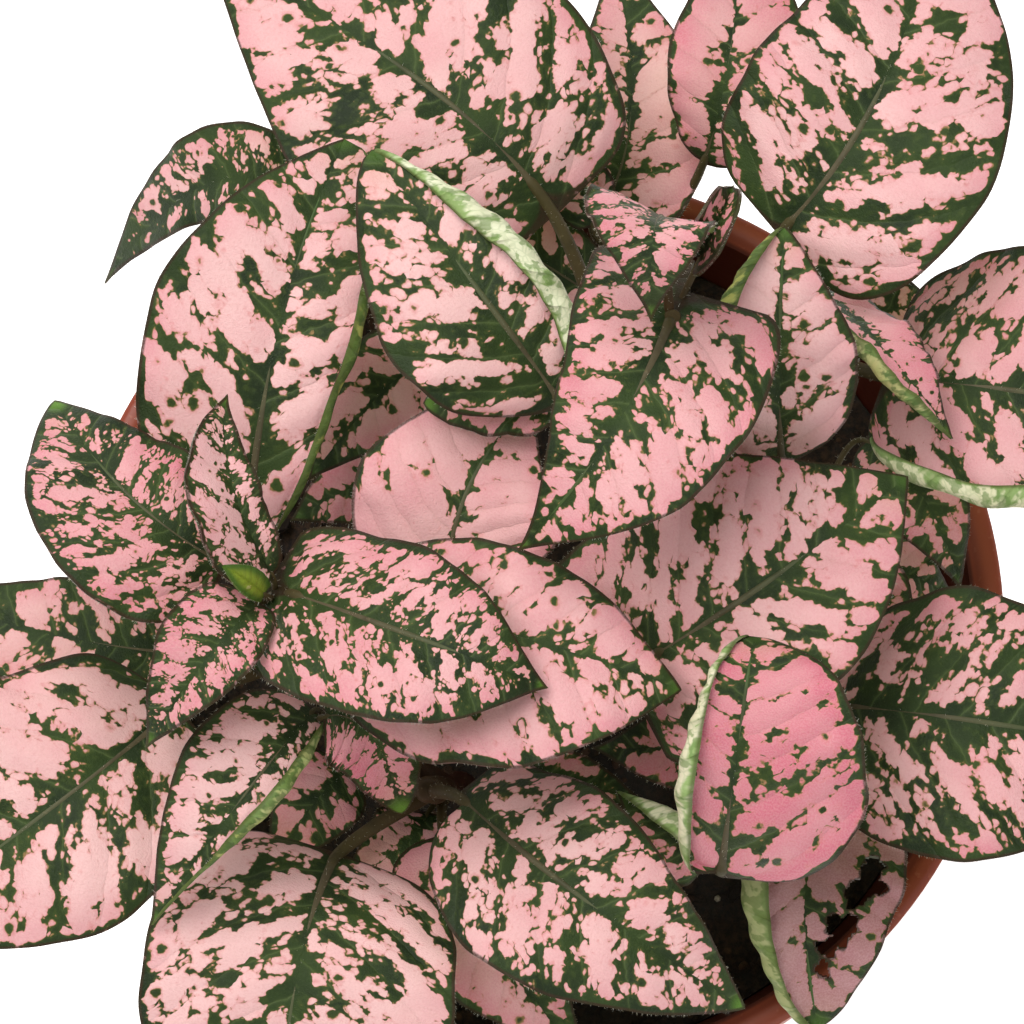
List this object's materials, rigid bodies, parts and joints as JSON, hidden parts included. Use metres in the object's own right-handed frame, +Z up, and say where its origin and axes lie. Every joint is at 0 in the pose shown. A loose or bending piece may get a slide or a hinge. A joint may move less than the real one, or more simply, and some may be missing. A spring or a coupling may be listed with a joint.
{
  "type": "potted polka dot plant",
  "caption": "Bushy foliage plant with broad pointed pink leaves spotted dark green, on leafy stems rooted in soil in a tapered terracotta-coloured nursery pot.",
  "frame": {"origin": "middle of the pot's base, where it rests", "axes": "+Z up along the pot's axis; the picture looks down and along +Y, with +X to its right"},
  "size_m": [0.1504, 0.1454, 0.1601],
  "materials": {
    "pot": "satin terracotta-coloured moulded plastic",
    "soil": null,
    "foliage": null
  },
  "bodies": {
    "root": {"pot": "pot", "soil": "soil", "leafy_stem_left": "foliage", "leafy_stem_centre": "foliage", "leafy_stem_front_left": "foliage", "leafy_stem_front_right": "foliage", "leafy_stem_right": "foliage", "leafy_stem_back_right": "foliage", "leafy_stem_back": "foliage", "leafy_stem_back_left": "foliage"}
  },
  "joints": []
}
